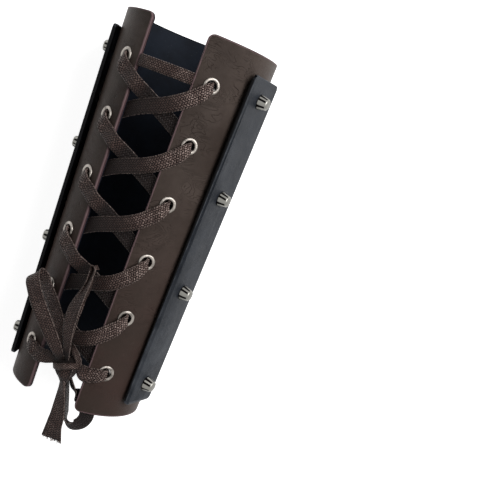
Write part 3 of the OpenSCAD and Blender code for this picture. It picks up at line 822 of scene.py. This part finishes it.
# The outer leather and the lining are flat sheets with round corners, bent round the forearm
sheets = {
    "around": 176, "along": 110, "corner": 0.1, "bevel": 0.5, "mostBevel": 0.45, "bevelSteps": 3,
    "faceDepth": 0.55, "uvScale": 100, "holeR": 3.4, "punch": 20, "holeSteps": 48,
}


def slitEdge(y):
    arc = halfLen - cuff["cornerR"]
    past = min(max(abs(y) - arc, 0), cuff["cornerR"])
    straight = slitHalf(math.copysign(min(abs(y), arc), y))
    return straight + cuff["cornerR"] - math.sqrt(cuff["cornerR"] ** 2 - past ** 2)


def bendSheet(bm, depth):
    arc = halfLen - cuff["cornerR"]
    for vert in bm.verts:
        s, flat = vert.co.x, abs(vert.co.y)
        past = (flat - 1 + sheets["corner"]) / sheets["corner"]
        if flat > 1 - sheets["corner"]:
            y = arc + cuff["cornerR"] * math.sin(past * math.pi / 2)
        else:
            y = arc * flat / (1 - sheets["corner"])
        y = math.copysign(y, vert.co.y)
        first = math.asin(slitEdge(y) / leatherR(y))
        vert.co = over(math.pi + s * (math.pi - first), y, -depth)


def roundTurn(co):
    return math.atan2(co.x, co.z) % (2 * math.pi)


def markSheet(bm, depth):
    # The layer "edge" grows inward from the rims on the outer face and falls below nought on the sides
    edge = bm.verts.layers.float.new("edge")
    uv = bm.loops.layers.uv.new("UVMap")
    for vert in bm.verts:
        y, r, turn = vert.co.y, leatherR(vert.co.y), roundTurn(vert.co)
        sunk = r - depth - vert.co.xz.length
        fromSlit = (min(turn, 2 * math.pi - turn) - math.asin(slitEdge(y) / r)) * r
        vert[edge] = max(0, min(fromSlit, halfLen - abs(y))) if sunk < sheets["faceDepth"] else -sunk
    for face in bm.faces:
        for loop in face.loops:
            co = loop.vert.co
            loop[uv].uv = (roundTurn(co) * midR / sheets["uvScale"], co.y / sheets["uvScale"])


def cuffSheet(node, name, depth, thick, material):
    bm = bmesh.new()
    bmesh.ops.create_grid(bm, x_segments=sheets["around"], y_segments=sheets["along"], size=1)
    bendSheet(bm, depth)
    bmesh.ops.recalc_face_normals(bm, faces=bm.faces)
    bm.normal_update()
    if min(bm.faces, key=lambda face: face.calc_center_median().z).normal.z > 0:
        bmesh.ops.reverse_faces(bm, faces=bm.faces)
    bmesh.ops.solidify(bm, geom=bm.faces[:], thickness=thick)
    bmesh.ops.recalc_face_normals(bm, faces=bm.faces)
    bevelRims(bm, min(sheets["bevel"], sheets["mostBevel"] * thick), sheets["bevelSteps"])
    markSheet(bm, depth)
    punchHoles(finishPiece(node, bm, material, name=name))


def punchHoles(piece):
    bm = bmesh.new()
    for row in range(1, eyelets["rows"] + 1):
        for side in (-1, 1):
            place = toRow @ onLeather(side * eyeletTurn(rowY(row)), rowY(row))
            addCone(bm, place, sheets["punch"], sheets["holeSteps"], sheets["holeR"], sheets["holeR"])
    punch = addObject("punch", meshOf("punch", bm))
    cut = piece.modifiers.new("holes", "BOOLEAN")
    cut.operation, cut.solver, cut.object = "DIFFERENCE", "MANIFOLD", punch
    bpy.context.view_layer.update()
    graph = bpy.context.evaluated_depsgraph_get()
    cutPiece = piece.evaluated_get(graph)
    holed = bpy.data.meshes.new_from_object(cutPiece, preserve_all_data_layers=True, depsgraph=graph)
    piece.modifiers.clear()
    piece.data = holed
    bpy.data.objects.remove(punch)
    for face in holed.polygons:
        face.use_smooth = True


cuffSheet("outer_shell", "outerLeather", 0, cuff["leather"], leatherMaterial())
cuffSheet("lining", "cuffLining", cuff["leather"] + cuff["glue"], cuff["lining"], liningMaterial())
print("cuff is bent and punched")

# Stiff charcoal splints with black painted sides and a painted highlight along the bevel of the face
splintLook = {
    "face": (0.024, 0.028, 0.036, 1), "wrist": (0.056, 0.062, 0.073, 1), "deep": (0.011, 0.0135, 0.0185, 1),
    "side": (0.003, 0.003, 0.0035, 1), "line": (0.12, 0.125, 0.135, 1),
    "specular": 0.1, "roughNoise": (9.0, 4.0), "rough": (0.2, 0.36), "toWrist": (-1.1, 0.2, 1.0, 0.0),
    "cloudNoise": (3.5, 5.0, 0.65), "cloud": (0.3, 0.72), "pores": (110.0, 0.0, 0.2), "grain": 0.00005,
    "scuffStretch": (8.0, 30.0, 0.3), "scuffNoise": (2.0, 4.0, 0.7),
    "scuffs": (0.62, 0.8), "scuffShare": 0.16,
    "streakStretch": (26.0, 1.6), "streakNoise": (1.0, 4.0, 0.65),
    "streaks": (0.52, 0.75), "streakShare": 0.14,
    "wearNoise": (14.0, 3.0), "wear": (0.4, 0.65), "wearAt": 0.35, "wearWidth": (0.0, 0.3, 1.0, 0.0),
    "wearShare": 0.5, "sideEnds": (0.0, 0.12, 1.0, 0.0),
}


def splintMaterial():
    look = splintLook
    material, tree, shader = newMaterial("charcoalSplint", {"Specular IOR Level": look["specular"]})
    uv, _, along = uvOf(tree)
    edge = attribute(tree, "edge")
    cloud = spots(tree, uv, look["cloudNoise"], look["cloud"])
    toWrist = ramp(tree, along, *look["toWrist"])
    colour = mixColour(tree, cloud, look["deep"], mixColour(tree, toWrist, look["face"], look["wrist"]))
    for mark in ("scuff", "streak"):
        drawn = stretch(tree, uv, *look[mark + "Stretch"])
        marks = spots(tree, drawn, look[mark + "Noise"], look[mark + "s"])
        colour = tint(tree, colour, look["line"], marks, look[mark + "Share"])
    # Painted highlight along the bevel, broken by noise
    wear = spots(tree, uv, look["wearNoise"], look["wear"])
    off = calc(tree, "ABSOLUTE", calc(tree, "SUBTRACT", edge, look["wearAt"]))
    worn = times(tree, ramp(tree, off, *look["wearWidth"]), wear)
    colour = tint(tree, colour, look["line"], worn, look["wearShare"])
    colour = mixColour(tree, ramp(tree, edge, *look["sideEnds"]), colour, look["side"])
    rough = scaled(tree, noiseOf(tree, uv, *look["roughNoise"]), *look["rough"])
    dress(tree, shader, colour, rough, [(poresOf(tree, uv, *look["pores"]), look["grain"])])
    return material


charcoalSplint = splintMaterial()


def addSplint(index, name):
    top, low = halfLen - splints["elbowGap"], -halfLen + splints["wristGap"]
    wide, narrow = splints["elbowW"] / 2, splints["wristW"] / 2
    bm = bmesh.new()
    corners = [(-narrow, low), (narrow, low), (wide, top), (-wide, top)]
    plate = bm.faces.new([bm.verts.new((x, y, 0)) for x, y in corners])
    bmesh.ops.bevel(
        bm, geom=plate.verts[:], offset=splints["cornerR"], segments=splints["cornerSteps"], profile=0.5,
        affect="VERTICES", material=-1,
    )
    bmesh.ops.extrude_face_region(bm, geom=bm.faces[:])
    upper = bm.verts[:][len(bm.verts) // 2:]
    bmesh.ops.translate(bm, vec=(0, 0, splints["thick"]), verts=upper)
    bmesh.ops.recalc_face_normals(bm, faces=bm.faces)
    bevelRims(bm, splints["bevel"], splints["bevelSteps"])
    for face in [f for f in bm.faces if len(f.verts) > splints["manySides"]]:
        bmesh.ops.inset_region(bm, faces=[face], thickness=splints["inset"], use_even_offset=True)
    uv = bm.loops.layers.uv.new("UVMap")
    edge = bm.verts.layers.float.new("edge")
    for vert in bm.verts:
        x, y, z = vert.co
        side = (wide + narrow) / 2 + (wide - narrow) / (top - low) * (y - (top + low) / 2) - abs(x)
        vert[edge] = min(side, top - y, y - low) if z > splints["bevel"] / 2 else 0
    for face in bm.faces:
        for loop in face.loops:
            loop[uv].uv = (loop.vert.co.x / sheets["uvScale"] + 2 * index, loop.vert.co.y / sheets["uvScale"])
    bmesh.ops.transform(bm, matrix=onSplint(index), verts=bm.verts)
    finishPiece("splint_" + name, bm, charcoalSplint)


for index, name in enumerate(splints["names"]):
    addSplint(index, name)
print("splints are on")

# Screw-back cone studs of dark polished steel. Their colour is painted reflection: streaks run from the foot
# to the rim, as polished cones mirror a bright room, with a pale rim, a duller tip and a dark foot; the
# heights of the rim and the tip are in centimetres
studLook = {
    "pale": (0.25, 0.245, 0.225, 1), "dark": (0.005, 0.0045, 0.0045, 1), "tip": (0.15, 0.146, 0.13, 1),
    "roughNoise": (900.0, 3.0), "rough": (0.12, 0.28), "turnStretch": (3.0, 0.2), "turnNoise": (1.0, 2.0),
    "turnSway": 0.3, "streaks": 8.0, "streak": (-0.25, 0.15),
    "rimEnds": (0.515, 0.525), "tipEnds": (0.597, 0.599), "footEnds": (0.03, 0.07, 1.0, 0.0),
}


def studMaterial():
    look = studLook
    material, tree, shader = newMaterial("studSteel", {"Metallic": 1.0})
    uv, u, height = uvOf(tree)
    sway = noiseOf(tree, stretch(tree, uv, *look["turnStretch"]), *look["turnNoise"])
    turn = scaled(tree, sway, look["turnSway"], u)
    # Painted reflection: light and dark streaks round the cone
    paintedReflection = calc(tree, "SINE", times(tree, turn, 2 * math.pi * look["streaks"]))
    colour = mixColour(tree, ramp(tree, paintedReflection, *look["streak"]), look["dark"], look["pale"])
    # Painted reflection in a pale rim, a duller tip and a dark foot
    for ends, other in (("rimEnds", "pale"), ("tipEnds", "tip"), ("footEnds", "dark")):
        colour = mixColour(tree, ramp(tree, height, *look[ends]), colour, look[other])
    place = addNode(tree, "ShaderNodeTexCoord").outputs["Object"]
    rough = scaled(tree, noiseOf(tree, place, *look["roughNoise"]), *look["rough"])
    dress(tree, shader, colour, rough)
    return material


# Nickel and zinc, clouded and evenly rough
metalLook = {
    "cloudNoise": (260.0, 3.0, 0.6), "cloud": (0.25, 0.6), "roughNoise": (900.0, 3.0), "roughSpan": 0.16,
}


def metalMaterial(name, pale, dark, roughness):
    look = metalLook
    material, tree, shader = newMaterial(name, {"Metallic": 1.0})
    place = addNode(tree, "ShaderNodeTexCoord").outputs["Object"]
    cloud = spots(tree, place, look["cloudNoise"], look["cloud"])
    least = roughness - look["roughSpan"] / 2
    rough = scaled(tree, noiseOf(tree, place, *look["roughNoise"]), look["roughSpan"], least)
    dress(tree, shader, mixColour(tree, cloud, dark, pale), rough)
    return material


studMetal = studMaterial()
nickel = metalMaterial("nickel", (0.34, 0.31, 0.28, 1), (0.09, 0.08, 0.072, 1), 0.34)
washerMetal = metalMaterial("washerNickel", (0.34, 0.325, 0.305, 1), (0.14, 0.135, 0.13, 1), 0.3)
screwMetal = metalMaterial("screwZinc", (0.3, 0.3, 0.29, 1), (0.12, 0.12, 0.12, 1), 0.35)


def lathe(profile, place):
    # Spins a profile of radius and height pairs round the Z axis; U runs round and V along the height
    bm = bmesh.new()
    verts = [bm.verts.new((r, 0, z)) for r, z in profile]
    edges = [bm.edges.new(pair) for pair in zip(verts, verts[1:])]
    bmesh.ops.spin(
        bm, geom=verts + edges, cent=(0, 0, 0), axis=(0, 0, 1), dvec=(0, 0, 0), angle=2 * math.pi,
        steps=latheSteps, use_merge=True,
    )
    bmesh.ops.remove_doubles(bm, verts=bm.verts, dist=weld)
    bmesh.ops.recalc_face_normals(bm, faces=bm.faces)
    uv = bm.loops.layers.uv.new("UVMap")
    for face in bm.faces:
        middle = face.calc_center_median()
        turn = math.atan2(middle.y, middle.x)
        for loop in face.loops:
            co = loop.vert.co
            own = math.atan2(co.y, co.x) if co.xy.length > 0.01 else turn
            own = turn + (own - turn + math.pi) % (2 * math.pi) - math.pi
            loop[uv].uv = (own / (2 * math.pi) + 0.5, co.z / 10)
    bmesh.ops.transform(bm, matrix=place, verts=bm.verts)
    return bm


def studProfile():
    r, h, foot, cut = studs["baseR"], studs["height"], studs["foot"], studs["bevel"]
    tip = studs["tipR"]
    return [
        (0, 0), (r - 0.15, 0), (r, 0.15), (r, foot - 0.1), (r - 0.08, foot + 0.1),
        (tip + cut + 0.05, h - cut - 0.12), (tip + cut - 0.08, h - cut + 0.08),
        (tip + 0.1, h - 0.06), (tip - 0.15, h), (0, h),
    ]


def addStud(index, name, k):
    first = halfLen - splints["elbowGap"] - studs["end"]
    span = cuff["length"] - splints["elbowGap"] - splints["wristGap"] - 2 * studs["end"]
    most, bySplint, byStud = studs["sway"]
    sway = most * math.sin(index * bySplint + k * byStud)
    at = first - k * (span / (studs["count"] - 1))
    place = onSplint(index) @ Matrix.Translation((0, at, splints["thick"]))
    bm = lathe(studProfile(), place @ Matrix.Rotation(sway, 4, "Z"))
    finishPiece(f"stud_{name}_{k + 1}", bm, studMetal, sharp=studs["sharp"])


for index, name in enumerate(splints["names"]):
    for k in range(studs["count"]):
        addStud(index, name, k)
print("studs are on")


# Rolled eyelets; the washers behind them and the screws keep the meshes of the solids
def eyeletProfile():
    bore, flange, barrel = eyelets["boreR"], eyelets["flangeR"], eyelets["boreR"] + eyelets["metal"]
    middle, half = (bore + flange) / 2, (flange - bore) / 2
    back = -washerSeat - eyelets["washerT"]
    dome = []
    for a in range(0, 181, eyelets["domeStep"]):
        turn = math.radians(a)
        rise = eyelets["flangeH"] * math.sin(turn) ** eyelets["domePower"]
        dome.append((middle + half * math.cos(turn), rise))
    lip = [(bore, back - 0.5), (bore + 0.35, back - 0.62), (barrel + 0.7, back - 0.4), (barrel + 0.9, back)]
    return dome + lip + [(barrel, back), (barrel, 0), (middle + half, 0)]


for row in range(1, eyelets["rows"] + 1):
    for side, name in ((-1, "left"), (1, "right")):
        place = onLeather(side * eyeletTurn(rowY(row)), rowY(row))
        place = place @ Matrix.Rotation(row * eyelets["turn"], 4, "Z")
        bm = lathe(eyeletProfile(), place)
        finishPiece(f"eyelet_{name}_{row}", bm, nickel, sharp=eyelets["sharp"])

for node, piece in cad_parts.items():
    if node.startswith(("eyelet_washers", "stud_screws")):
        for slot in piece.material_slots:
            slot.material = washerMetal if node.startswith("eyelet") else screwMetal
print("eyelets are in")

# The knot: a turn drawn tight across the front, the folds that run together below it, a roll at its right and
# what lies within. A ring is a centre, a width direction, half a width and half a thickness
knotBands = {
    "wrap": [
        ((-4.4, -5.4, -2), (-0.3, 0.95, 0), 1.8, 0.8),
        ((-7, -5.6, 0.2), (-0.3, 0.9, 0.2), 1.9, 0.9),
        ((-5.2, -4.8, 2.8), (-0.4, 0.9, 0.1), 2, 1),
        ((-2, -3.2, 4.7), (-0.42, 0.9, 0), 2.1, 1.1),
        ((1.6, -1.5, 5.2), (-0.38, 0.92, 0), 2.1, 1.1),
        ((4.8, -0.2, 4), (-0.25, 0.95, -0.2), 2, 1),
        ((6.9, 0.5, 1.6), (-0.1, 0.95, -0.2), 1.9, 0.9),
        ((5.4, 0.3, -1.8), (0, 1, 0), 1.8, 0.8),
    ],
    "fold": [
        ((0.2, -2, 1.4), (1, 0.42, 0), 5.4, 0.9),
        ((0.8, -4.8, 2), (1, 0.42, 0), 5.1, 1.1),
        ((1.4, -7.2, 2.1), (1, 0.35, 0), 4.2, 1.3),
        ((1.6, -9.4, 1.4), (1, 0.25, 0), 3.1, 1.4),
        ((1.4, -11.6, 0), (1, 0.1, 0.1), 2.2, 1.2),
    ],
    "leftFold": [
        ((-6.4, -4.6, -1), (0.3, 0.2, 1), 2, 0.8),
        ((-6, -6.6, -0.4), (0.4, 0.2, 1), 2.3, 0.8),
        ((-4, -8.8, 0), (0.5, 0.3, 1), 2.2, 0.8),
        ((-1.6, -10.6, 0), (0.7, 0.2, 0.8), 2, 0.8),
        ((0.2, -12.6, -0.2), (0.8, 0, 0.6), 1.8, 0.8),
    ],
    "rightFold": [
        ((6.2, -1.2, -0.4), (-0.2, 0.2, 1), 2, 0.8),
        ((6, -3.4, 0.2), (-0.4, 0.1, 1), 2.3, 0.8),
        ((5.2, -6.2, 0.2), (-0.5, 0, 0.9), 2.2, 0.8),
        ((4, -8.6, 0), (-0.5, 0, 0.9), 2, 0.8),
        ((3.2, -11.4, -0.4), (-0.3, 0, 1), 1.8, 0.8),
    ],
    "roll": [
        ((-2.4, 9.4, -2.4), (0.62, 0.78, 0), 1.8, 0.8),
        ((0.2, 8.7, -0.2), (0.62, 0.78, 0.1), 2, 0.9),
        ((3.4, 6.9, 1.2), (0.66, 0.75, 0.1), 2.2, 0.9),
        ((6.2, 4.2, 1.4), (0.85, 0.55, 0.1), 2.1, 0.9),
        ((7, 1.4, 0.8), (1, 0.15, 0), 1.9, 0.9),
        ((6.2, -0.8, -0.8), (1, -0.1, 0), 1.8, 0.8),
    ],
    "core": [
        ((-7.6, -2.4, -0.6), (-0.35, 0.9, 0), 3, 1.4),
        ((0, 0, 0.4), (-0.35, 0.9, 0), 3.6, 2),
        ((6, 1.6, -0.6), (-0.3, 0.9, 0), 3, 1.4),
    ],
}


def addKnot():
    bm = bmesh.new()
    bm.loops.layers.uv.new("UVMap")
    bm.verts.layers.float.new("rubbed")
    for band, route in knotBands.items():
        rings = [
            (knotAt + Vector(centre), Vector(across), width, thick) for centre, across, width, thick in route
        ]
        mesh = meshOf(band, laceBand(smoothRoute(rings, laceForm["knotStep"]), band))
        bm.from_mesh(mesh)
        bpy.data.meshes.remove(mesh)
    finishPiece("bow_knot", bm, waxedLace)


addKnot()
print("knot is tied")

# Plain stage: a white floor under the lowest edge of the splints, soft lamps and an even world
stage = {
    "size": 2.5, "floor": (0.86, 0.86, 0.86, 1), "rough": 0.9, "specular": 0.1, "lift": 0.88,
    "white": (1, 1, 1, 1), "world": 0.1, "aim": (0, 0, 0.05),
}
lamps = [
    ("softKey", (0.6, 0.5, 1.0), 0.9, 13.6),
    ("softFill", (-0.7, -0.3, 1.0), 0.8, 0.1),
    ("softRim", (-0.5, 1.0, 0.6), 0.5, 0.7),
]


def seenDirectly(tree):
    path = addNode(tree, "ShaderNodeLightPath").outputs
    mirrored = calc(tree, "MAXIMUM", path["Is Glossy Ray"], path["Is Transmission Ray"])
    return calc(tree, "MAXIMUM", path["Is Camera Ray"], mirrored)


def addFloor():
    bm = bmesh.new()
    lowest = Matrix.Translation((0, 0, cadBox[0][2]))
    bmesh.ops.create_grid(bm, x_segments=1, y_segments=1, size=stage["size"], matrix=lowest)
    floor = addObject("floor", meshOf("floor", bm))
    sockets = {
        "Base Color": stage["floor"], "Roughness": stage["rough"], "Specular IOR Level": stage["specular"],
        "Emission Color": stage["white"],
    }
    material, tree, shader = newMaterial("paleFloor", sockets)
    lift = times(tree, seenDirectly(tree), stage["lift"])
    tree.links.new(lift, shader.inputs["Emission Strength"])
    floor.data.materials.append(material)


def addWorld():
    world = bpy.data.worlds.new("world")
    scene.world = world
    world.use_nodes = True
    tree = world.node_tree
    back = tree.nodes["Background"]
    back.inputs["Color"].default_value = stage["white"]
    tree.links.new(ramp(tree, seenDirectly(tree), 0.0, 1.0, stage["world"], 1.0), back.inputs["Strength"])


def addLamp(name, place, size, power):
    lamp = addObject(name, bpy.data.lights.new(name, "AREA"))
    lamp.data.shape, lamp.data.size, lamp.data.size_y = "RECTANGLE", size, size
    lamp.data.energy = power
    turn = (Vector(stage["aim"]) - Vector(place)).to_track_quat("-Z", "Y")
    lamp.matrix_world = Matrix.LocRotScale(Vector(place), turn, None)


addFloor()
addWorld()
for lamp in lamps:
    addLamp(*lamp)
print("stage is set")
